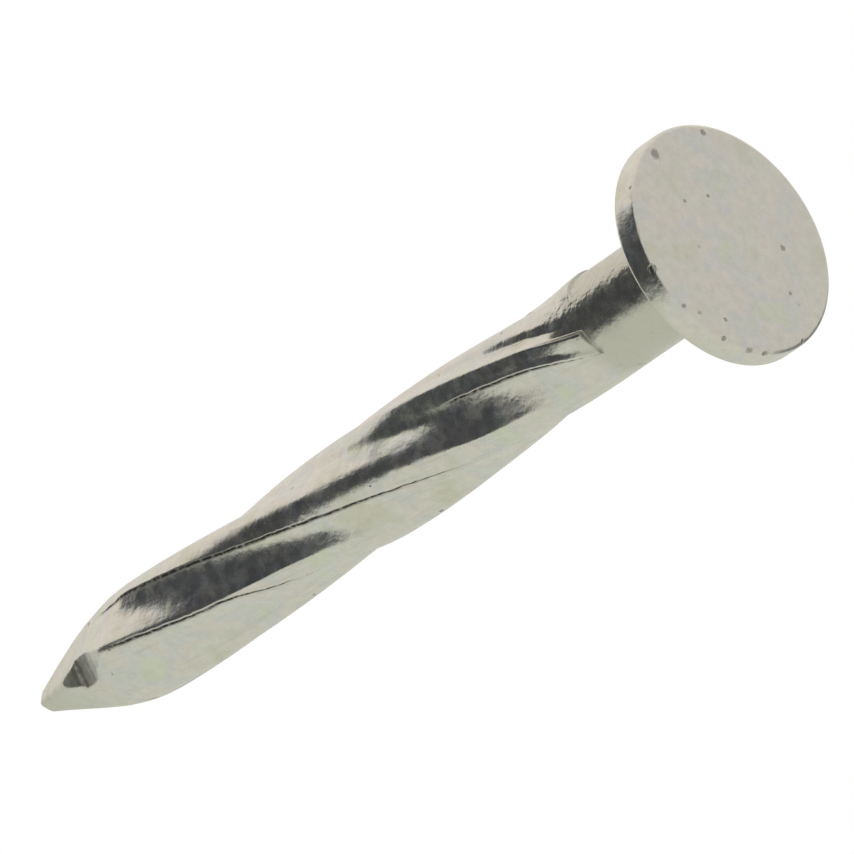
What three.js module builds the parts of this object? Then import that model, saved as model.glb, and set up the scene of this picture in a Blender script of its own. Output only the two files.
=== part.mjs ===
// Twist-shank nail: round flat head, plain neck, helically ridged shank and a four-sided point.
// One piece of cold-headed wire. Units are millimetres, +Z runs along the axis towards the head,
// and the origin is the centre of the striking face.
import * as THREE from 'three';

const DEGREE = Math.PI / 180;
const TURN = 360;

// Driving dimensions.
const LENGTH = 38;
const WIRE_RADIUS = 1.875;
const HEAD_RADIUS = 4.28;
const HEAD_THICKNESS = 1.2;

// Head edges.
const SHOULDER_RADIUS = 0.28;
const UNDER_EDGE_RADIUS = 0.14;
const NECK_FILLET = 0.15;
const SEAT_RING_RADIUS = 2.5;
const ARC_STEPS = 3;

// Rolled ridges: each starts at an upper crest angle and holds its height across a narrow land.
// The angles are those at the top of the ridged stretch, in degrees from the front of the nail.
const RIDGE_RADIUS = 2.11;
const RIDGE_RADIUS_AT_POINT = 2.03;
const FOOT_RADIUS = 1.84;
const LAND_WIDTH = 20;
const FOOT_WIDTH = 5;
const FACE_HOLLOW = 0.07;
const CREST_ANGLES = [-5, 60, 125, 200, 240, 310];
const TWIST_PER_MM = 5.7;

// Ridges start just below the plain neck: the lands abruptly, the faces over a short run-out.
const LAND_START = -5.9;
const LAND_RUN_OUT = 0.2;
const FACE_START = -5.6;
const FACE_RUN_OUT = 1.8;

// Four-sided pinched point.
const POINT_LENGTH = 5.4;
const POINT_HALF_WIDTH = 0.2;
const POINT_PLANE_ANGLES = [-55, 35, 125, 215];
const TIP_OFFSET = 0.27;
const TIP_DOME = 0.12;

// Mesh density.
const SEGMENTS = 72;
const NECK_ROWS = 3;
const SHANK_ROWS = 27;
const POINT_ROWS = 8;

const FRONT_ANGLE = -90;
const NEARLY_ZERO = 1e-6;

function smoothStep(value) {
  const t = THREE.MathUtils.clamp(value, 0, 1);
  return t * t * (3 - 2 * t);
}

// Points on a quarter of a circle, from one angle to another, in the outline's radius and height.
function arcPoints(centreRadius, centreHeight, radius, fromDegrees, toDegrees) {
  const points = [];
  for (let step = 0; step <= ARC_STEPS; step += 1) {
    const angle = (fromDegrees + ((toDegrees - fromDegrees) * step) / ARC_STEPS) * DEGREE;
    const x = centreRadius + radius * Math.cos(angle);
    const y = centreHeight + radius * Math.sin(angle);
    points.push(new THREE.Vector2(x, y));
  }
  return points;
}

// Evenly spaced points down a plain cylinder, without its first end.
function cylinderPoints(fromHeight, toHeight, rows) {
  const points = [];
  for (let row = 1; row <= rows; row += 1) {
    const height = fromHeight + ((toHeight - fromHeight) * row) / rows;
    points.push(new THREE.Vector2(WIRE_RADIUS, height));
  }
  return points;
}

function headOutline() {
  const shoulder = arcPoints(HEAD_RADIUS - SHOULDER_RADIUS, -SHOULDER_RADIUS, SHOULDER_RADIUS, 90, 0);
  const underEdgeHeight = UNDER_EDGE_RADIUS - HEAD_THICKNESS;
  const underEdge = arcPoints(HEAD_RADIUS - UNDER_EDGE_RADIUS, underEdgeHeight, UNDER_EDGE_RADIUS, 0, -90);
  const seatRing = new THREE.Vector2(SEAT_RING_RADIUS, -HEAD_THICKNESS);
  const filletCentre = WIRE_RADIUS + NECK_FILLET;
  const fillet = arcPoints(filletCentre, -HEAD_THICKNESS - NECK_FILLET, NECK_FILLET, 90, 180);
  return [new THREE.Vector2(0, 0), ...shoulder, ...underEdge, seatRing, ...fillet];
}

// Closed outline of the round blank, from the face's centre out and down to the tip on the axis.
function blankOutline() {
  const neckTop = -HEAD_THICKNESS - NECK_FILLET;
  const pointTop = POINT_LENGTH - LENGTH;
  return [
    ...headOutline(),
    ...cylinderPoints(neckTop, FACE_START, NECK_ROWS),
    ...cylinderPoints(FACE_START, LAND_START, 1),
    ...cylinderPoints(LAND_START, LAND_START - LAND_RUN_OUT, 1),
    ...cylinderPoints(LAND_START - LAND_RUN_OUT, pointTop, SHANK_ROWS),
    ...cylinderPoints(pointTop, TIP_DOME - LENGTH, POINT_ROWS),
    new THREE.Vector2(0, -LENGTH),
  ];
}

// Radius of a straight chord between two polar points, at an angle between them.
function chordRadius(startRadius, endRadius, span, offset) {
  const fromStart = startRadius * Math.sin(offset * DEGREE);
  const fromEnd = endRadius * Math.sin((span - offset) * DEGREE);
  return (startRadius * endRadius * Math.sin(span * DEGREE)) / (fromStart + fromEnd);
}

function lastCrestBefore(angle) {
  const lowest = CREST_ANGLES[0];
  const wrapped = lowest + THREE.MathUtils.euclideanModulo(angle - lowest, TURN);
  const passed = CREST_ANGLES.filter((crest) => crest <= wrapped + NEARLY_ZERO);
  const index = passed.length - 1;
  const next = index + 1 < CREST_ANGLES.length ? CREST_ANGLES[index + 1] : lowest + TURN;
  return { offset: wrapped - CREST_ANGLES[index], span: next - CREST_ANGLES[index] };
}

// Full-depth section of the rolled shank: land, step down to the foot, then a hollow flat face
// that rises to the next crest.
function ridgedRadius(angle, ridgeRadius) {
  const { offset, span } = lastCrestBefore(angle);
  if (offset <= LAND_WIDTH + NEARLY_ZERO) {
    return ridgeRadius;
  }
  const faceStart = LAND_WIDTH + FOOT_WIDTH;
  if (offset <= faceStart) {
    const down = (offset - LAND_WIDTH) / FOOT_WIDTH;
    return THREE.MathUtils.lerp(ridgeRadius, FOOT_RADIUS, down);
  }
  const faceSpan = span - faceStart;
  const along = offset - faceStart;
  const hollow = FACE_HOLLOW * Math.sin((Math.PI * along) / faceSpan);
  return chordRadius(FOOT_RADIUS, ridgeRadius, faceSpan, along) - hollow;
}

function shankRadius(angle, height) {
  const down = (LAND_START - height) / (LENGTH - POINT_LENGTH + LAND_START);
  const ridgeRadius = THREE.MathUtils.lerp(RIDGE_RADIUS, RIDGE_RADIUS_AT_POINT, smoothStep(down));
  const change = ridgedRadius(angle, ridgeRadius) - WIRE_RADIUS;
  const landShare = smoothStep((LAND_START - height) / LAND_RUN_OUT);
  const faceShare = smoothStep((FACE_START - height) / FACE_RUN_OUT);
  return WIRE_RADIUS + change * (change > 0 ? landShare : faceShare);
}

// Distance from the axis to the nearest pinched plane, along a ray at this angle.
function pointLimit(angle, height) {
  const fromTip = height + LENGTH;
  const slope = (WIRE_RADIUS - POINT_HALF_WIDTH) / POINT_LENGTH;
  const planeDistance = POINT_HALF_WIDTH + slope * fromTip;
  const limits = POINT_PLANE_ANGLES.map((plane) => {
    const facing = Math.cos((angle - plane) * DEGREE);
    return facing > 0 ? planeDistance / facing : Infinity;
  });
  return Math.min(...limits);
}

function tipShift(height) {
  return -TIP_OFFSET * smoothStep((POINT_LENGTH - LENGTH - height) / POINT_LENGTH);
}

// Moves one vertex of the round blank to its place on the twisted, ridged and pinched nail.
function shapeVertex(vertex) {
  if (vertex.z > FACE_START + NEARLY_ZERO) {
    return vertex;
  }
  const blankRadius = Math.hypot(vertex.x, vertex.y);
  const columnAngle = Math.atan2(vertex.y, vertex.x) / DEGREE - FRONT_ANGLE;
  const twist = TWIST_PER_MM * (vertex.z - FACE_START);
  const angle = columnAngle + twist;
  const wanted = Math.min(shankRadius(columnAngle, vertex.z), pointLimit(angle, vertex.z));
  const radius = (blankRadius / WIRE_RADIUS) * wanted;
  const direction = (angle + FRONT_ANGLE) * DEGREE;
  vertex.x = radius * Math.cos(direction) + tipShift(vertex.z);
  vertex.y = radius * Math.sin(direction);
  return vertex;
}

function nailGeometry() {
  const geometry = new THREE.LatheGeometry(blankOutline().reverse(), SEGMENTS);
  geometry.rotateX(Math.PI / 2);
  const positions = geometry.getAttribute('position');
  const vertex = new THREE.Vector3();
  for (let index = 0; index < positions.count; index += 1) {
    vertex.fromBufferAttribute(positions, index);
    shapeVertex(vertex);
    positions.setXYZ(index, vertex.x, vertex.y, vertex.z);
  }
  geometry.computeVertexNormals();
  return geometry;
}

function zincPlatedSteel() {
  return new THREE.MeshStandardMaterial({ color: 0xb9b8ad, roughness: 0.34, metalness: 0.95 });
}

const nail = new THREE.Mesh(nailGeometry(), zincPlatedSteel());
nail.name = 'nail';

const part = new THREE.Group();
part.name = 'twist_shank_nail';
part.add(nail);

export default part;
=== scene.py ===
"""Looks of the twist-shank nail: a finely modelled nail in place of the faceted one, zinc-plated steel,
and a pale studio. Shape is worked out in millimetres, heights downwards from the striking face and
angles in degrees from the nail's front, and becomes metres when the mesh is made."""

import math
from collections import namedtuple

import bpy
import numpy as np
from mathutils import Matrix, Vector, noise


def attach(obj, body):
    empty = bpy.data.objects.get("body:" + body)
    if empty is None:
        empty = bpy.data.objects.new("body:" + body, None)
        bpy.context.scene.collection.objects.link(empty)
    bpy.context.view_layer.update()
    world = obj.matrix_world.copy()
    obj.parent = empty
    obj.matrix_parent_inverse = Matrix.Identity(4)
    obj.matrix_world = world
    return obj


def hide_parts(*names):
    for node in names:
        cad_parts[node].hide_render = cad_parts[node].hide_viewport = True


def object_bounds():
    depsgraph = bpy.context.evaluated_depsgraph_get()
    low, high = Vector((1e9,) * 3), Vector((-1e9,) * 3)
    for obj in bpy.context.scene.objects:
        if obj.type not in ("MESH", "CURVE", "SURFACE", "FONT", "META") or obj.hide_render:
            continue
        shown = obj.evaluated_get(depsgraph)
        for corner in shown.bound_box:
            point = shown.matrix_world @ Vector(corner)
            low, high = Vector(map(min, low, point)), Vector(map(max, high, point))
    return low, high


MM = 0.001
FRONT_ANGLE = -90.0
WIRE_RADIUS = 1.875
TWIST_PER_MM = 5.7
HEAD_THICKNESS = 1.2
SHOULDER_RADIUS = 0.32
UNDER_EDGE_RADIUS = 0.15
NECK_FILLET = 0.16

# One rolled ridge. The lines are (height, value) points down the shank: the crest's angle, the width of
# the land past it, the crest's radius, how far the land drops across that width, the depth of the step
# at its edge, the height of the lip on that edge, how hollow the face up to the next crest is, how far
# that hollow leans towards the step, and how far round the crest's rounding spreads, in degrees.
# The last two are the step's width in degrees and how much grime and painted shade lie in its crease.
Ridge = namedtuple("Ridge", "crest width radius drop step lip hollow lean rounding step_width dirt")
PLAIN_LIP = ((-6.0, 0.025), (-38.0, 0.025))
NO_LIP = ((-6.0, 0.0), (-38.0, 0.0))
NO_LEAN = ((-6.0, 0.0), (-38.0, 0.0))
ROUND = ((-6.0, 4.0), (-38.0, 4.0))
RIDGES = (
    Ridge(
        crest=((-6.0, -7.0), (-8.7, -25.0), (-16.7, -67.0), (-38.0, -188.0)),
        width=((-5.9, 30.0), (-7.6, 23.0), (-9.4, 18.0), (-38.0, 17.0)),
        radius=((-6.0, 2.08), (-15.0, 2.08), (-20.7, 2.0), (-28.0, 1.97)),
        drop=(
            (-5.9, 0.17), (-7.9, 0.17), (-8.6, 0.08), (-9.5, 0.11), (-12.0, 0.21), (-15.0, 0.35),
            (-16.2, 0.35), (-17.0, 0.17), (-18.2, 0.14), (-21.0, 0.20), (-25.0, 0.32), (-38.0, 0.30),
        ),
        step=((-5.9, 0.15), (-8.0, 0.12), (-10.5, 0.10), (-12.3, 0.07), (-13.8, 0.0), (-38.0, 0.0)),
        lip=((-5.9, 0.09), (-8.3, 0.09), (-9.5, 0.025), (-38.0, 0.025)),
        hollow=((-6.2, 0.02), (-9.0, 0.05), (-13.0, 0.05), (-15.0, 0.02), (-22.0, 0.02), (-28.0, -0.10)),
        lean=((-13.0, 0.0), (-14.5, 0.045), (-16.2, 0.045), (-17.2, 0.01), (-21.0, 0.02), (-25.0, 0.04)),
        rounding=((-6.0, 0.5), (-9.0, 1.2), (-38.0, 1.5)),
        step_width=2.4,
        dirt=1.0,
    ),
    Ridge(
        crest=((-6.0, 58.0), (-10.2, 33.0), (-13.0, 20.0), (-16.2, -4.0), (-24.6, -52.5), (-38.0, -127.0)),
        width=((-9.0, 34.0), (-11.3, 30.0), (-14.6, 25.5), (-18.7, 22.0), (-24.6, 22.5), (-38.0, 20.0)),
        radius=((-6.0, 1.9), (-9.0, 1.95), (-10.5, 1.98), (-12.3, 2.07), (-20.0, 2.1), (-30.0, 2.07)),
        drop=((-9.0, 0.03), (-14.0, 0.12), (-20.0, 0.18), (-24.5, 0.18), (-27.0, 0.03), (-38.0, 0.03)),
        step=((-7.0, 0.0), (-9.5, 0.04), (-11.0, 0.09), (-18.0, 0.09), (-22.0, 0.06), (-38.0, 0.07)),
        lip=NO_LIP,
        hollow=((-6.2, 0.02), (-12.0, 0.06), (-20.0, 0.09), (-24.0, 0.11), (-38.0, 0.11)),
        lean=NO_LEAN,
        rounding=((-12.5, 1.5), (-15.0, 6.0), (-18.0, 8.0), (-25.0, 8.0), (-29.0, 4.0)),
        step_width=3.2,
        dirt=1.0,
    ),
    Ridge(
        crest=(
            (-6.0, 142.0), (-15.5, 96.0), (-17.3, 80.0), (-19.1, 55.0), (-21.0, 30.0), (-23.4, 17.0),
            (-28.0, 1.0), (-32.0, -20.0), (-38.0, -52.0),
        ),
        width=(
            (-6.0, 20.0), (-15.0, 24.0), (-19.0, 32.0), (-22.3, 22.0), (-24.3, 13.0), (-26.0, 1.5),
            (-38.0, 1.0),
        ),
        radius=(
            (-6.0, 1.88), (-9.0, 1.96), (-12.0, 2.08), (-18.0, 2.12), (-20.0, 2.05), (-21.5, 1.97),
            (-23.0, 1.98), (-24.5, 2.03), (-38.0, 2.0),
        ),
        drop=((-6.0, 0.0), (-15.0, -0.02), (-22.0, 0.02), (-26.0, 0.0)),
        step=((-6.0, 0.0), (-12.0, 0.12), (-22.0, 0.12), (-25.0, 0.06), (-38.0, 0.05)),
        lip=NO_LIP,
        hollow=((-6.0, 0.03), (-15.0, 0.08)),
        lean=NO_LEAN,
        rounding=((-20.0, 4.0), (-22.0, 1.2), (-38.0, 1.2)),
        step_width=3.4,
        dirt=1.0,
    ),
    Ridge(
        crest=((-6.0, 200.0), (-38.0, 22.0)),
        width=((-6.0, 21.0), (-38.0, 17.0)),
        radius=((-6.0, 1.88), (-12.0, 2.08)),
        drop=((-6.0, 0.02), (-38.0, 0.02)),
        step=((-6.0, 0.0), (-10.0, 0.12), (-38.0, 0.14)),
        lip=PLAIN_LIP,
        hollow=((-6.0, 0.03), (-38.0, 0.05)),
        lean=NO_LEAN,
        rounding=ROUND,
        step_width=2.4,
        dirt=1.0,
    ),
    Ridge(
        crest=((-6.0, 250.0), (-12.0, 212.0), (-38.0, 60.0)),
        width=((-6.0, 22.0), (-38.0, 17.0)),
        radius=((-6.0, 2.01), (-7.2, 1.97), (-8.5, 1.92), (-12.0, 2.08)),
        drop=((-6.0, 0.03), (-38.0, 0.05)),
        step=((-9.0, 0.0), (-12.0, 0.12), (-38.0, 0.10)),
        lip=PLAIN_LIP,
        hollow=((-6.0, 0.05), (-38.0, 0.08)),
        lean=NO_LEAN,
        rounding=ROUND,
        step_width=2.4,
        dirt=1.0,
    ),
    Ridge(
        crest=((-6.0, 311.0), (-7.8, 300.0), (-8.5, 292.0), (-10.4, 279.0), (-15.5, 251.0), (-38.0, 125.0)),
        width=((-6.0, 21.0), (-38.0, 19.0)),
        radius=((-7.0, 1.87), (-10.4, 1.89), (-14.0, 2.04), (-20.0, 2.07)),
        drop=((-6.0, 0.0), (-38.0, 0.02)),
        step=(
            (-6.6, 0.0), (-7.6, 0.07), (-8.6, 0.11), (-10.4, 0.11), (-12.0, 0.05), (-14.0, 0.08),
            (-38.0, 0.13),
        ),
        lip=NO_LIP,
        hollow=((-6.0, 0.0), (-38.0, 0.03)),
        lean=NO_LEAN,
        rounding=ROUND,
        step_width=11.0,
        dirt=0.0,
    ),
)

# How the ridges are shaped: how far a lip spreads for its height, in degrees to a millimetre, the least
# width of a land, how deep a full step is, how far round the edge of a land without a step is rounded, how
# far the hollow and its lean shift towards the step, how suddenly the round wire rises to a crest where the
# faces haven't opened, and how ragged a land's edge is, as waves to a millimetre and their size in degrees.
LIP_SPREAD = 90.0
LEAST_LAND = 1.0
FULL_STEP = 0.05
STEPLESS_ROUNDING = 2.5
HOLLOW_SHIFT = 0.8
LEAN_SHIFT = 0.75
CREST_CLIFF = 60
SLOW_WAVES = (1.7, 0.9)
QUICK_WAVES = (5.0, 0.6)

# Where grime and painted shade gather: how far they spread from a step, in degrees, how high a crest has to
# stand above the round wire to hold them, and the same for the ridges' ends, with how far they spread down
# them.
CREASE_GRIME_AND_SHADE_SPREAD = 1.6
GRIMY_SHADED_CREST = (0.1, 0.18)
GRIMY_SHADED_END = (0.05, 0.2)
END_GRIME_AND_SHADE_SPREAD = 0.04

# Heights between which the ridges start and fade: the lands' slanted end, the faces below the plain neck,
# the wire opening out into hollow faces, and the creases closing up above the point.
LAND_START = -6.22
LAND_START_SLANT = 0.32
LAND_RUN_OUT = 0.05
FACE_START = -5.8
FACE_RUN_OUT = 0.8
FACE_OPEN = (-6.8, -9.0)
CREASE_END = (-31.5, -33.5)

# The pinched point: half-widths by distance from the tip, going on until the flats clear the ridges, its
# four flats, and the flat crushed into the edge that faces front, with its depth and its grime and painted
# shade by distance from the tip.
POINT_LENGTH = 6.2
POINT_HALF_WIDTHS = (
    (0.0, 0.32), (0.9, 0.65), (1.85, 1.01), (2.75, 1.34), (3.7, 1.65), (4.6, 1.87), (6.2, 2.25), (8.5, 3.4),
)
POINT_FLATS = (-55.0, 35.0, 125.0, 215.0)
POINT_FLATNESS = 0.82
POINT_EDGE_SHARPNESS = 30
POINT_BLEND_SHARPNESS = 26
TIP_ROUNDING = 0.32
TIP_OFFSET = 0.22
GRAZING = 0.05
FAR_AWAY = 40.0
CRUSHED_ANGLE = -14.0
CRUSH_DEPTHS = ((2.35, 0.0), (3.28, 0.17), (3.34, 0.32), (4.2, 0.31), (4.6, 0.2), (5.6, 0.04), (6.0, 0.0))
CRUSH_GRIME_AND_SHADE = ((2.35, 0.4), (3.3, 0.7), (4.0, 0.4), (4.8, 0.1), (6.0, 0.0))

# Mesh density: where the closer rows below the neck end, how far from the tip the last close rows start
# and end, and how many columns each stretch of a ridge has.
DENSE_ROWS_END = -8.6
TIP_ROWS_START = 0.4
LAST_ROW = 0.01
LAND_COLUMNS = 12
STEP_COLUMNS = 7
FACE_COLUMNS = 32


def smooth(low, high, value):
    """0 below low, 1 above high, and an S-curve between them."""
    t = np.clip((value - low) / (high - low), 0.0, 1.0)
    return t * t * (3.0 - 2.0 * t)


def along(points, height):
    """Value at each height of a line given by a few points."""
    heights, values = zip(*sorted(points))
    return np.interp(height, heights, values)


def along_rounded(points, height):
    """The same with the line's corners rounded."""
    shifts = (-0.6, -0.3, 0.0, 0.3, 0.6)
    return sum(along(points, height + shift) for shift in shifts) / len(shifts)


def stepless_share(step):
    """1 where a land has no step at its edge, and 0 where the step is a full one."""
    return 1.0 - smooth(0.0, FULL_STEP, step)


def arc_rows(centre, radius, start, end, count):
    """Radius and height of points round an edge, between two angles in degrees."""
    angles = np.radians(np.linspace(start, end, count))
    return [(centre[0] + radius * math.cos(angle), centre[1] + radius * math.sin(angle)) for angle in angles]


def head_outline(head_radius):
    """Radius and height of the head's rows, from the face's centre to the top of the neck."""
    shoulder_centre = (head_radius - SHOULDER_RADIUS, -SHOULDER_RADIUS)
    under_edge_centre = (head_radius - UNDER_EDGE_RADIUS, UNDER_EDGE_RADIUS - HEAD_THICKNESS)
    fillet_centre = (WIRE_RADIUS + NECK_FILLET, -HEAD_THICKNESS - NECK_FILLET)
    face = [(radius, 0.0) for radius in np.linspace(0.0, shoulder_centre[0], 34)]
    shoulder = arc_rows(shoulder_centre, SHOULDER_RADIUS, 90.0, 0.0, 10)[1:]
    rim_heights = np.linspace(shoulder_centre[1], under_edge_centre[1], 6)[1:-1]
    rim = [(head_radius, height) for height in rim_heights]
    under_edge = arc_rows(under_edge_centre, UNDER_EDGE_RADIUS, 0.0, -90.0, 5)
    ring_radii = np.linspace(under_edge_centre[0], fillet_centre[0], 8)[1:-1]
    ring = [(radius, -HEAD_THICKNESS) for radius in ring_radii]
    fillet = arc_rows(fillet_centre, NECK_FILLET, 90.0, 180.0, 6)
    return face + shoulder + rim + under_edge + ring + fillet


def shank_heights(top, length):
    """Heights of the rows below the head: closer together at the ridges' starts and at the point."""
    ridge_top = LAND_START + LAND_START_SLANT
    run_out_end = LAND_START - LAND_START_SLANT - LAND_RUN_OUT
    point_top = POINT_LENGTH - length
    spans = (
        (top, ridge_top, 18),
        (ridge_top, run_out_end, 34),
        (run_out_end, DENSE_ROWS_END, 22),
        (DENSE_ROWS_END, point_top, 112),
        (point_top, TIP_ROWS_START - length, 60),
        (TIP_ROWS_START - length, LAST_ROW - length, 10),
    )
    heights = []
    for start, end, rows in spans:
        heights.extend(np.linspace(start, end, rows + 1)[1:])
    return np.array(heights)


class Section:
    """The ridged section's angles, radii, and grime with painted shade, on a grid of rows down the shank and
    columns across.
    """

    def __init__(self, heights):
        self.heights = heights
        crests = [along_rounded(ridge.crest, heights) for ridge in RIDGES]
        crests.append(crests[0] + 360.0)
        radii = [along_rounded(ridge.radius, heights) for ridge in RIDGES]
        radii.append(radii[0])
        columns = []
        for index, ridge in enumerate(RIDGES):
            columns.extend(self.land(ridge, crests[index], radii[index]))
            next_ridge = RIDGES[(index + 1) % len(RIDGES)]
            columns.extend(self.face(ridge, next_ridge, crests[index : index + 2], radii[index : index + 2]))
        self.angles, self.radii, self.grime, rounding = (np.array(values).T for values in zip(*columns))
        self.round_crests(rounding)

    def land_shape(self, ridge, crest_radius):
        """Width of the land, radius at its lower edge, depth of the step there, and radius at its foot."""
        width = np.maximum(along_rounded(ridge.width, self.heights) + self.raggedness(ridge), LEAST_LAND)
        drop = along_rounded(ridge.drop, self.heights)
        step = along_rounded(ridge.step, self.heights) * smooth(*reversed(CREASE_END), self.heights)
        edge_radius = crest_radius - drop
        slope_on = drop * ridge.step_width / width * stepless_share(step)
        return width, edge_radius, step, edge_radius - step - slope_on

    def land(self, ridge, crest, crest_radius):
        """Columns of the land and of the step at its lower edge."""
        width, edge_radius, step, foot_radius = self.land_shape(ridge, crest_radius)
        stepless = stepless_share(step)
        lip = along_rounded(ridge.lip, self.heights) * (1.0 - stepless) * smooth(2.0, 8.0, width)
        rounding = along_rounded(ridge.rounding, self.heights)
        none = 0.0 * width
        columns = []
        for t in np.arange(LAND_COLUMNS) / LAND_COLUMNS:
            raised = lip * np.clip(1.0 + width * (t - 1.0) / (LIP_SPREAD * (lip + 0.001)), 0.0, 1.0)
            radius = crest_radius + (edge_radius - crest_radius) * t + raised
            near_crest = rounding * (1.0 - smooth(0.45, 0.85, t))
            near_edge = STEPLESS_ROUNDING * stepless * smooth(0.5, 0.9, t)
            # Grime with painted shade at the foot of the crest.
            dirt = self.crest_grime_and_shade(crest_radius) if t == 0.0 else none
            columns.append((crest + width * t, radius, dirt, np.maximum(near_crest, near_edge)))
        for t in np.arange(STEP_COLUMNS) / STEP_COLUMNS:
            down = (1.0 - stepless) * smooth(0.0, 1.0, t) + stepless * t
            radius = foot_radius + (edge_radius + lip - foot_radius) * (1.0 - down)
            # Grime with painted shade in the step's crease.
            dirt = ridge.dirt * smooth(0.0, 0.04, step) * smooth(0.1, 0.6, t)
            columns.append((crest + width + ridge.step_width * t, radius, dirt, STEPLESS_ROUNDING * stepless))
        return columns

    def face(self, ridge, next_ridge, crests, radii):
        """Columns of the hollow face from the step's foot up to the next crest."""
        width, _, step, foot_radius = self.land_shape(ridge, radii[0])
        start = crests[0] + width + ridge.step_width
        span = crests[1] - start
        hollow = along_rounded(ridge.hollow, self.heights)
        lean = along_rounded(ridge.lean, self.heights)
        rounding = along_rounded(next_ridge.rounding, self.heights)
        stepless = stepless_share(step)
        opening = smooth(*FACE_OPEN, self.heights)
        columns = []
        for t in np.arange(FACE_COLUMNS) / FACE_COLUMNS:
            chord = chord_radius(foot_radius, radii[1], np.radians(span), t)
            hollowed = chord - hollow * math.sin(math.pi * t**HOLLOW_SHIFT)
            flute = hollowed - lean * math.sin(2.0 * math.pi * t**LEAN_SHIFT)
            round_wire = foot_radius + (radii[1] - foot_radius) * t**CREST_CLIFF
            radius = flute * opening + round_wire * (1.0 - opening)
            # Grime with painted shade spreading from the step's crease, and at the foot of the next crest.
            dirt = ridge.dirt * smooth(0.0, 0.04, step) * np.exp(-((span * t / CREASE_GRIME_AND_SHADE_SPREAD) ** 2))
            dirt = dirt + self.crest_grime_and_shade(radii[1]) * smooth(0.9, 0.97, t)
            near_crest = rounding * smooth(0.45, 0.8, t)
            near_edge = STEPLESS_ROUNDING * stepless * (1.0 - t) ** 4
            columns.append((start + span * t, radius, dirt, np.maximum(near_crest, near_edge)))
        return columns

    def crest_grime_and_shade(self, crest_radius):
        """Grime and painted shade against a crest that stands straight up from the round wire, near the top
        of the shank.
        """
        return (1.0 - smooth(*FACE_OPEN, self.heights)) * smooth(*GRIMY_SHADED_CREST, crest_radius - WIRE_RADIUS)

    def raggedness(self, ridge):
        """Unevenness of a land's lower edge down the shank, in degrees."""
        seed = ridge.crest[0][1]
        slow = [noise.noise(Vector((seed, 0.0, height * SLOW_WAVES[0]))) for height in self.heights]
        quick = [noise.noise(Vector((seed, 3.0, height * QUICK_WAVES[0]))) for height in self.heights]
        return SLOW_WAVES[1] * np.array(slow) + QUICK_WAVES[1] * np.array(quick)

    def round_crests(self, spread):
        """Rounds the crests: each radius becomes an average of those within a spread of angles."""
        steps = np.linspace(-2.0, 2.0, 9)
        weights = np.exp(-(steps**2) / 2.0)
        for row, angles in enumerate(self.angles.copy()):
            all_round = np.concatenate([angles - 360.0, angles, angles + 360.0])
            radii = np.tile(self.radii[row], 3)
            shifted = [np.interp(angles + step * spread[row], all_round, radii) for step in steps]
            self.radii[row] = np.average(shifted, axis=0, weights=weights)


def chord_radius(start_radius, end_radius, span, t):
    """Radius of the straight line between two polar points, at a share t of the angle between them."""
    across = start_radius * np.sin(span * t) + end_radius * np.sin(span * (1.0 - t))
    return start_radius * end_radius * np.sin(span) / across


def land_start(section):
    """Height at which the ridges start, which is a little higher on the right."""
    return LAND_START + LAND_START_SLANT * np.sin(np.radians(section.angles))


def shank_radii(section):
    """Radii of the shank with the ridges fading in below the plain neck."""
    height = section.heights[:, None]
    change = section.radii - WIRE_RADIUS
    below_start = land_start(section) - height
    land_share = smooth(0.0, LAND_RUN_OUT, below_start)
    face_share = smooth(FACE_START, FACE_START - FACE_RUN_OUT, height)
    return WIRE_RADIUS + np.where(change > 0.0, change * land_share, change * face_share)


def soft_least(values, sharpness):
    """The least of some positive arrays, with the edges between them rounded."""
    total = sum((1.0 / value) ** sharpness for value in values)
    return total ** (-1.0 / sharpness)


def plane_limit(angles, plane_angle, distance):
    """Distance from the axis to a plane along each ray, and far away where the ray misses it."""
    facing = np.cos(np.radians(angles - plane_angle))
    return np.where(facing > GRAZING, distance / np.maximum(facing, GRAZING), FAR_AWAY)


def point_radii(angles, heights, radii, length):
    """Radii, and grime with painted shade, of the pinched point: four rounded sides, with a crushed flat on
    the front edge.
    """
    from_tip = heights[:, None] + length
    half_width = along(POINT_HALF_WIDTHS, from_tip)
    flats = [plane_limit(angles, flat, half_width * POINT_FLATNESS) for flat in POINT_FLATS]
    pinched = soft_least(flats + [half_width + 0.0 * angles], POINT_EDGE_SHARPNESS)
    shape = soft_least([radii, pinched], POINT_BLEND_SHARPNESS)
    crush = along(CRUSH_DEPTHS, from_tip)
    crushed = plane_limit(angles, CRUSHED_ANGLE, half_width - crush)
    # Grime with painted shade in the crushed flat.
    grime = along(CRUSH_GRIME_AND_SHADE, from_tip) * smooth(0.0, 0.04, shape - crushed)
    shape = np.where(crush > 0.0, np.minimum(shape, crushed), shape)
    near_tip = np.clip(from_tip / TIP_ROUNDING, 0.0, 1.0)
    return shape * np.sqrt(1.0 - (1.0 - near_tip) ** 2), grime


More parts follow.
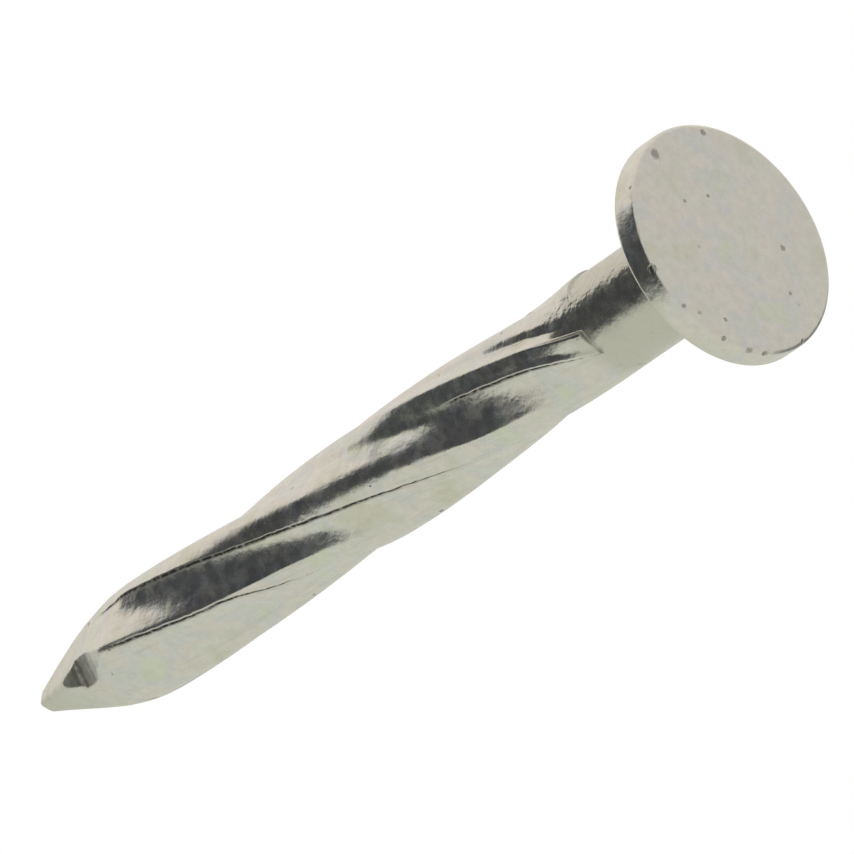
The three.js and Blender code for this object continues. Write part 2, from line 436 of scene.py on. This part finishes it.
def grid_positions(box_low, box_high):
    """Vertices of the nail on a grid of rows by columns, with each vertex's grime and painted shade."""
    length = (box_high.z - box_low.z) / MM
    outline = head_outline((box_high.x - box_low.x) / MM / 2.0)
    heights = shank_heights(outline[-1][1], length)
    section = Section(heights)
    radii, crush_grime = point_radii(section.angles, heights, shank_radii(section), length)
    columns = section.angles.shape[1]
    head_radii = np.repeat([[radius] for radius, _ in outline], columns, 1)
    head_angles = np.repeat(section.angles[:1], len(outline), 0)
    all_heights = np.concatenate([[height for _, height in outline], heights])
    direction = np.radians(np.vstack([head_angles, section.angles]) + FRONT_ANGLE)
    all_radii = np.vstack([head_radii, radii])
    x = all_radii * np.cos(direction)
    x -= TIP_OFFSET * smooth(POINT_LENGTH - length, -length, all_heights)[:, None]
    y = all_radii * np.sin(direction)
    z = np.repeat(all_heights[:, None], columns, 1)
    # Grime with painted shade in the creases and on the ridges' ends.
    crease_grime = section.grime * ridged(section) + end_face_grime(section)
    grime = np.vstack([0.0 * head_radii, np.maximum(crease_grime, crush_grime)])
    return np.stack([x, y, z], -1), grime


def ridged(section):
    """1 where the ridges have started and 0 above that."""
    return smooth(0.0, 0.1, land_start(section) - section.heights[:, None])


def end_face_grime(section):
    """Grime and painted shade on the small cliffs where the ridges start."""
    from_middle = section.heights[:, None] - land_start(section) + LAND_RUN_OUT / 2.0
    standing = smooth(*GRIMY_SHADED_END, section.radii - WIRE_RADIUS)
    return standing * np.exp(-((from_middle / END_GRIME_AND_SHADE_SPREAD) ** 2))


def nail_mesh(name, points, grime):
    """Closed mesh from the grid: the first row is the face's centre, and a tip vertex closes the end."""
    rows, columns = points.shape[:2]
    vertices = [points[0, 0]]
    vertices.extend(points[1:].reshape(-1, 3))
    tip = points[-1].mean(0) - np.array([0.0, 0.0, LAST_ROW])
    vertices.append(tip)
    last = len(vertices) - 1
    faces = []

    def at(row, column):
        return 1 + (row - 1) * columns + column % columns

    for column in range(columns):
        faces.append((0, at(1, column), at(1, column + 1)))
        faces.append((last, at(rows - 1, column + 1), at(rows - 1, column)))
    for row in range(1, rows - 1):
        for column in range(columns):
            upper = (at(row, column), at(row, column + 1))
            lower = (at(row + 1, column), at(row + 1, column + 1))
            faces.append((upper[0], lower[0], lower[1], upper[1]))
    mesh = bpy.data.meshes.new(name)
    mesh.from_pydata([Vector(v) * MM for v in vertices], [], faces)
    mesh.shade_smooth()
    # This layer holds the grime together with the painted shade of creases and recesses.
    grime_and_shade_layer = mesh.attributes.new("grime", "FLOAT", "POINT")
    grime_and_shade_layer.data.foreach_set("value", np.concatenate([[0.0], grime[1:].ravel(), [0.0]]))
    return mesh


def add_nail(box_low, box_high, material):
    """The nail that stands for the CAD node."""
    points, grime = grid_positions(box_low, box_high)
    mesh = nail_mesh("zinc_plated_nail", points, grime)
    mesh.materials.append(material)
    nail = bpy.data.objects.new("zinc_plated_nail", mesh)
    bpy.context.scene.collection.objects.link(nail)
    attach(nail, "root")
    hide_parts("nail")


class Graph:
    """Short helpers for making and wiring shader nodes."""

    def __init__(self, tree):
        self.nodes, self.links = tree.nodes, tree.links

    def feed(self, socket, value):
        if isinstance(value, bpy.types.NodeSocket):
            self.links.new(value, socket)
        else:
            socket.default_value = value

    def math(self, operation, *values):
        node = self.nodes.new("ShaderNodeMath")
        node.operation = operation
        for socket, value in zip(node.inputs, values):
            self.feed(socket, value)
        return node.outputs[0]

    def split(self, place):
        """The three coordinates of a place."""
        node = self.nodes.new("ShaderNodeSeparateXYZ")
        self.feed(node.inputs[0], place)
        return node.outputs

    def vector_math(self, operation, *values):
        node = self.nodes.new("ShaderNodeVectorMath")
        node.operation = operation
        for socket, value in zip(node.inputs, values):
            self.feed(socket, value)
        return node.outputs["Value"] if operation in ("LENGTH", "DISTANCE") else node.outputs["Vector"]

    def ramp(self, value, low, high, start=0.0, end=1.0):
        """start at low, end at high, smooth between."""
        node = self.nodes.new("ShaderNodeMapRange")
        node.interpolation_type = "SMOOTHSTEP"
        self.feed(node.inputs["Value"], value)
        for name, number in (("From Min", low), ("From Max", high), ("To Min", start), ("To Max", end)):
            node.inputs[name].default_value = number
        return node.outputs["Result"]

    def window(self, value, low, high, soft):
        """1 between low and high, with soft edges."""
        rise = self.ramp(value, low - soft, low + soft)
        fall = self.ramp(value, high + soft, high - soft)
        return self.math("MULTIPLY", rise, fall)

    def mix(self, share, first, second, blend="MIX"):
        node = self.nodes.new("ShaderNodeMix")
        node.data_type = "RGBA"
        node.blend_type = blend
        self.feed(node.inputs["Factor"], share)
        self.feed(node.inputs["A"], first)
        self.feed(node.inputs["B"], second)
        return node.outputs["Result"]

    def noise(self, place, per_mm, detail=2.0, roughness=0.5, shift=0.0):
        """Noise with this many features to a millimetre."""
        node = self.nodes.new("ShaderNodeTexNoise")
        self.feed(node.inputs["Vector"], self.vector_math("ADD", place, (shift, shift, shift)))
        node.inputs["Scale"].default_value = per_mm
        node.inputs["Detail"].default_value = detail
        node.inputs["Roughness"].default_value = roughness
        return node.outputs["Fac"]

    def colour_steps(self, value, steps):
        """Colour ramp through (position, colour) steps."""
        node = self.nodes.new("ShaderNodeValToRGB")
        self.feed(node.inputs["Fac"], value)
        elements = node.color_ramp.elements
        for (position, colour), element in zip(steps, list(elements) + [None] * (len(steps) - 2)):
            element = element or elements.new(position)
            element.position = position
            element.color = (*colour, 1.0)
        return node.outputs["Color"]


# Colours of the plating: its broad tints by position on a colour ramp, the light and dark of its finer
# mottling, and what lies on it, with painted shade on the neck, in the dents and, with the grime, in the
# creases.
TINTS = (
    (0.32, (0.75, 0.735, 0.64)),
    (0.42, (0.80, 0.795, 0.745)),
    (0.50, (0.825, 0.78, 0.73)),
    (0.57, (0.765, 0.77, 0.775)),
    (0.66, (0.77, 0.795, 0.69)),
)
MOTTLING = ((0.25, (0.92, 0.92, 0.92)), (0.7, (1.04, 1.04, 1.04)))
STREAK_COLOUR = (0.50, 0.49, 0.44, 1.0)
# Painted shade on the neck under the head, and the colour of the darker tip.
SHADED_NECK_AND_DARK_TIP_COLOUR = (0.665, 0.655, 0.585, 1.0)
RING_COLOUR = (0.62, 0.62, 0.56, 1.0)
# Painted shade for the dents and pits.
DENT_SHADE_COLOUR = (0.20, 0.185, 0.16, 1.0)
# Near-black grime with painted shade, for the creases and recesses.
GRIME_AND_SHADE_COLOUR = (0.022, 0.02, 0.018, 1.0)
STREAK_SHARE = 0.28
RING_SHARE = 0.05
DENT_SHADE_SHARE = 0.62

# The scattered pits, the dents' ragged edges, and the rings on the head's face.
PIT_CELLS_PER_MM = 1.1
PIT_RARITY = 0.59
DENT_RAGGEDNESS = 0.35
DENT_CORE = 0.45
RING_CENTRE = (-0.45, 0.35, 0.0)
RING_DRIFT = 1.5
RING_FREQUENCY = 7.5

# Heights of the bump's layers.
PEEL_HEIGHT = 0.035
GRAIN_HEIGHT = 0.006
STREAK_HEIGHT = 0.002
PEBBLE_HEIGHT = 0.045
DENT_DEPTH = 0.02

# The dents in the head's face and rim: x, y, z and radius of each.
HEAD_DENTS = (
    (1.25, 1.75, 0.0, 0.13),
    (-3.47, 1.75, 0.0, 0.12),
    (-3.78, -1.0, 0.0, 0.24),
    (-0.7, -4.25, -0.25, 0.22),
    (2.6, -3.35, -0.15, 0.14),
    (3.45, -2.6, -0.2, 0.2),
    (3.85, -1.95, -0.2, 0.2),
    (4.12, -0.1, -0.2, 0.14),
    (-3.3, -2.75, -0.3, 0.12),
    (2.1, -2.9, 0.0, 0.07),
    (1.45, -3.75, -0.1, 0.09),
)


def streak_noise(graph, streaky):
    """Noise drawn out along the ridges, for both the streaks' colour and their bump."""
    return graph.noise(streaky, per_mm=1.0, detail=3.0, roughness=0.6, shift=5.0)


def plating_colour(graph, place, streaky):
    """Pale zinc with broad tints, finer mottling, streaks along the ridges, painted shade on the neck under
    the head, and a darker tip.
    """
    colour = graph.colour_steps(graph.noise(place, per_mm=0.5, detail=2.5, roughness=0.55), TINTS)
    mottle = graph.noise(place, per_mm=3.2, detail=4.0, roughness=0.62, shift=11.0)
    colour = graph.mix(1.0, colour, graph.colour_steps(mottle, MOTTLING), "MULTIPLY")
    height = graph.split(place)["Z"]
    streaks = graph.ramp(streak_noise(graph, streaky), 0.5, 0.75)
    streaks = graph.math("MULTIPLY", streaks, graph.ramp(height, -1.0, -1.4))
    colour = graph.mix(graph.math("MULTIPLY", streaks, STREAK_SHARE), colour, STREAK_COLOUR)
    # Painted shade on the neck under the head, and a darker tip.
    on_neck = graph.window(height, -6.6, -1.3, 0.5)
    on_tip = graph.ramp(height, -32.5, -37.6)
    return graph.mix(graph.math("MAXIMUM", on_neck, on_tip), colour, SHADED_NECK_AND_DARK_TIP_COLOUR)


def pits(graph, place):
    """Small scattered pits, one in each of a few of the cells: 1 in a pit, 0 elsewhere."""
    cells = graph.nodes.new("ShaderNodeTexVoronoi")
    graph.feed(cells.inputs["Vector"], place)
    cells.inputs["Scale"].default_value = PIT_CELLS_PER_MM
    draw = graph.noise(cells.outputs["Position"], per_mm=9.0, detail=0.0, roughness=0.5, shift=3.0)
    chosen = graph.math("GREATER_THAN", draw, PIT_RARITY)
    return graph.math("MULTIPLY", graph.ramp(cells.outputs["Distance"], 0.11, 0.05), chosen)


def head_marks(graph, place):
    """1 in a dent of the head, 0 elsewhere, with ragged edges."""
    wobble = graph.noise(place, per_mm=3.0, detail=3.0, roughness=0.6, shift=7.0)
    raggedness = graph.math("MULTIPLY", graph.math("SUBTRACT", wobble, 0.5), DENT_RAGGEDNESS)
    total = None
    for x, y, z, radius in HEAD_DENTS:
        distance = graph.vector_math("DISTANCE", place, (x, y, z))
        ragged = graph.math("ADD", distance, raggedness)
        mark = graph.ramp(ragged, radius, radius * DENT_CORE)
        total = mark if total is None else graph.math("MAXIMUM", total, mark)
    return total


def forging_rings(graph, place):
    """Faint rings pressed into the head's face, off its centre."""
    radius = graph.vector_math("DISTANCE", place, RING_CENTRE)
    drift = graph.math("MULTIPLY", graph.noise(place, per_mm=0.5, detail=1.0), RING_DRIFT)
    wave = graph.math("SINE", graph.math("MULTIPLY", graph.math("ADD", radius, drift), RING_FREQUENCY))
    on_face = graph.ramp(graph.split(place)["Z"], -0.1, -0.02)
    inside = graph.window(radius, 0.9, 2.9, 0.5)
    return graph.math("MULTIPLY", graph.math("MULTIPLY", wave, on_face), inside)


def zinc_material():
    """Dull bright zinc plating, with dents and rings, painted shade in the dents and on the neck under the
    head, and grime with painted shade in the creases.
    """
    material = bpy.data.materials.new("zinc_plated_steel")
    material.use_nodes = True
    graph = Graph(material.node_tree)
    shader = graph.nodes["Principled BSDF"]
    metres = graph.nodes.new("ShaderNodeTexCoord").outputs["Object"]
    place = graph.vector_math("MULTIPLY", metres, (1.0 / MM,) * 3)
    streaky = unwound(graph, place)
    dents = graph.math("MAXIMUM", pits(graph, place), head_marks(graph, place))
    dirt = grime_share(graph, place)
    colour = plating_colour(graph, place, streaky)
    rings = graph.math("MULTIPLY", graph.math("ADD", forging_rings(graph, place), 1.0), RING_SHARE)
    colour = graph.mix(rings, colour, RING_COLOUR)
    # Darkens the dents and pits: painted shade in the recesses.
    colour = graph.mix(graph.math("MULTIPLY", dents, DENT_SHADE_SHARE), colour, DENT_SHADE_COLOUR)
    # Darkens the creases and recesses: grime with painted shade.
    colour = graph.mix(dirt, colour, GRIME_AND_SHADE_COLOUR)
    graph.feed(shader.inputs["Base Color"], colour)
    haze = graph.noise(place, per_mm=2.2, detail=4.0, roughness=0.65, shift=23.0)
    haze = graph.ramp(haze, 0.35, 0.75, start=1.0, end=0.90)
    graph.feed(shader.inputs["Metallic"], graph.math("SUBTRACT", haze, graph.math("MULTIPLY", dirt, 0.5)))
    sheen = graph.noise(place, per_mm=1.6, detail=3.0, roughness=0.6, shift=31.0)
    sheen = graph.ramp(sheen, 0.3, 0.75, start=0.17, end=0.33)
    graph.feed(shader.inputs["Roughness"], graph.math("ADD", sheen, graph.math("MULTIPLY", dirt, 0.35)))
    graph.feed(shader.inputs["Normal"], surface_bump(graph, place, streaky, dents))
    return material


def unwound(graph, place):
    """The place untwisted and squeezed lengthways, so that noise is drawn out along the ridges."""
    turn = graph.nodes.new("ShaderNodeVectorRotate")
    turn.rotation_type = "Z_AXIS"
    graph.feed(turn.inputs["Vector"], place)
    untwist = graph.math("MULTIPLY", graph.split(place)["Z"], -math.radians(TWIST_PER_MM))
    graph.feed(turn.inputs["Angle"], untwist)
    return graph.vector_math("MULTIPLY", turn.outputs["Vector"], (6.0, 6.0, 0.35))


def grime_share(graph, place):
    """How much grime and painted shade the surface has: the creases, broken up a little."""
    attribute = graph.nodes.new("ShaderNodeAttribute")
    attribute.attribute_name = "grime"
    broken = graph.noise(place, per_mm=5.0, detail=3.0, roughness=0.6, shift=17.0)
    broken = graph.ramp(broken, 0.3, 0.55, start=0.55, end=1.0)
    return graph.math("MULTIPLY", attribute.outputs["Fac"], broken)


def surface_bump(graph, place, streaky, dents):
    """Orange-peel plating, streaks along the ridges, pebbling on the neck's left, and the dents."""
    x, _, z = graph.split(place)
    rough_patch = graph.math("MULTIPLY", graph.window(z, -8.5, -1.5, 1.0), graph.ramp(x, -0.7, -1.5))
    peel = graph.noise(place, per_mm=1.5, detail=3.0, roughness=0.5, shift=2.0)
    peel = graph.math("MULTIPLY", peel, PEEL_HEIGHT)
    grain = graph.noise(place, per_mm=6.0, detail=3.0, roughness=0.6, shift=9.0)
    grain = graph.math("MULTIPLY", grain, GRAIN_HEIGHT)
    drawn = graph.math("MULTIPLY", streak_noise(graph, streaky), STREAK_HEIGHT)
    pebbles = graph.noise(place, per_mm=4.0, detail=2.0, roughness=0.5, shift=19.0)
    pebbles = graph.math("MULTIPLY", pebbles, PEBBLE_HEIGHT)
    height = graph.math("ADD", graph.math("ADD", peel, grain), drawn)
    height = graph.math("ADD", height, graph.math("MULTIPLY", pebbles, rough_patch))
    height = graph.math("SUBTRACT", height, graph.math("MULTIPLY", dents, DENT_DEPTH))
    bump = graph.nodes.new("ShaderNodeBump")
    bump.inputs["Strength"].default_value = 1.0
    bump.inputs["Distance"].default_value = MM
    graph.feed(bump.inputs["Height"], height)
    return bump.outputs["Normal"]


# The camera: its distance and shifts in millimetres, its angles in degrees, and its lens.
CAMERA_DISTANCE = 450.0
CAMERA_ASIDE = 1.55
CAMERA_ABOVE = 1.80
CAMERA_ELEVATION = 40.75
NAIL_LEAN = 34.63
LENS = 551.4


def add_camera(middle):
    """The camera looks down on the nail's front, rolled so that the nail leans to the right."""
    tilt = math.radians(CAMERA_ELEVATION)
    roll = math.radians(90.0 - NAIL_LEAN)
    back = Vector((0.0, -math.cos(tilt), math.sin(tilt)))
    level_right = Vector((1.0, 0.0, 0.0))
    level_up = back.cross(level_right)
    right = level_right * math.cos(roll) + level_up * math.sin(roll)
    up = back.cross(right)
    data = bpy.data.cameras.new("camera")
    data.lens = LENS
    data.sensor_width = 36.0
    data.clip_start, data.clip_end = 0.01, 20.0
    camera = bpy.data.objects.new("camera", data)
    turn = Matrix((right, up, back)).transposed()
    place = middle + (back * CAMERA_DISTANCE + right * CAMERA_ASIDE + up * CAMERA_ABOVE) * MM
    camera.matrix_world = Matrix.Translation(place) @ turn.to_4x4()
    bpy.context.scene.collection.objects.link(camera)
    bpy.context.scene.camera = camera


FLOOR_REACH = 3.0
FLOOR_GAP = 0.5
BLACK = (0.0, 0.0, 0.0, 1.0)
WHITE = (1.0, 1.0, 1.0, 1.0)


def add_floor(height):
    """A white floor that the nail doesn't reflect."""
    mesh = bpy.data.meshes.new("floor")
    sides = ((-1.0, -1.0), (1.0, -1.0), (1.0, 1.0), (-1.0, 1.0))
    corners = [(x * FLOOR_REACH, y * FLOOR_REACH, height) for x, y in sides]
    mesh.from_pydata(corners, [], [(0, 1, 2, 3)])
    material = bpy.data.materials.new("pale_floor")
    material.use_nodes = True
    shader = material.node_tree.nodes["Principled BSDF"]
    shader.inputs["Base Color"].default_value = BLACK
    shader.inputs["Specular IOR Level"].default_value = 0.0
    shader.inputs["Emission Color"].default_value = WHITE
    shader.inputs["Emission Strength"].default_value = 1.0
    mesh.materials.append(material)
    floor = bpy.data.objects.new("floor", mesh)
    floor.visible_glossy = False
    floor.visible_diffuse = False
    bpy.context.scene.collection.objects.link(floor)


# The studio's colours: above the nail, low on the left, low on the right, and the dark cards. A card's
# sides are azimuths from the nail's front, counted up towards its left, and its ends are elevations, all
# in degrees.
UPPER = (0.635, 0.625, 0.58, 1.0)
CREAM = (0.80, 0.765, 0.70, 1.0)
PALE_GREEN = (0.66, 0.675, 0.60, 1.0)
DARK = (0.055, 0.059, 0.065, 1.0)
Card = namedtuple("Card", "from_side to_side bottom top side_softness end_softness")
FRONT_CARD = Card(-2.0, 76.0, -66.0, -6.0, 9.0, 9.0)
BACK_CARD = Card(-162.0, -118.0, -24.0, 4.0, 9.0, 6.0)
BACK_CARD_STRENGTH = 0.85


def card_share(graph, azimuth, elevation, card):
    """1 on a soft-edged dark card, 0 around it."""
    across = graph.window(azimuth, card.from_side, card.to_side, card.side_softness)
    upwards = graph.window(elevation, card.bottom, card.top, card.end_softness)
    return graph.math("MULTIPLY", across, upwards)


def studio_colour(graph):
    """Pale tent light with a dark card low on the left of the front and another behind."""
    generated = graph.nodes.new("ShaderNodeTexCoord").outputs["Generated"]
    x, y, z = graph.split(generated)
    to_left = graph.math("MULTIPLY", x, -1.0)
    to_front = graph.math("MULTIPLY", y, -1.0)
    azimuth = graph.math("DEGREES", graph.math("ARCTAN2", to_left, to_front))
    elevation = graph.math("DEGREES", graph.math("ARCSINE", z))
    low = graph.mix(graph.ramp(azimuth, 60.0, 88.0), PALE_GREEN, CREAM)
    sky = graph.mix(graph.ramp(elevation, -15.0, 25.0), low, UPPER)
    front = card_share(graph, azimuth, elevation, FRONT_CARD)
    back = card_share(graph, azimuth, elevation, BACK_CARD)
    cards = graph.math("MAXIMUM", front, graph.math("MULTIPLY", back, BACK_CARD_STRENGTH))
    return graph.mix(cards, sky, DARK)


def add_studio():
    """The studio lights the nail and shows in its reflections, and the camera sees white in its place."""
    world = bpy.data.worlds.new("studio")
    world.use_nodes = True
    tree = world.node_tree
    tree.nodes.clear()
    graph = Graph(tree)
    is_camera = graph.nodes.new("ShaderNodeLightPath").outputs["Is Camera Ray"]
    seen = graph.mix(is_camera, studio_colour(graph), WHITE)
    background = graph.nodes.new("ShaderNodeBackground")
    graph.feed(background.inputs["Color"], seen)
    output = graph.nodes.new("ShaderNodeOutputWorld")
    graph.feed(output.inputs["Surface"], background.outputs[0])
    bpy.context.scene.world = world


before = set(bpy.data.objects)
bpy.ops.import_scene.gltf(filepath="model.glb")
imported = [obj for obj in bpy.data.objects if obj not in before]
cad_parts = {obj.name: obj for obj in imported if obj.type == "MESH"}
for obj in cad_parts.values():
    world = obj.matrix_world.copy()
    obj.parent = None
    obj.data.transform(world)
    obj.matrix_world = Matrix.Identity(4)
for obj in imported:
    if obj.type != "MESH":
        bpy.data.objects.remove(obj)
cad_low, cad_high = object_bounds()
add_camera((cad_low + cad_high) / 2.0)
add_nail(cad_low, cad_high, zinc_material())
add_floor(cad_low.z - FLOOR_GAP * MM)
add_studio()
bpy.context.scene.view_settings.view_transform = "Standard"
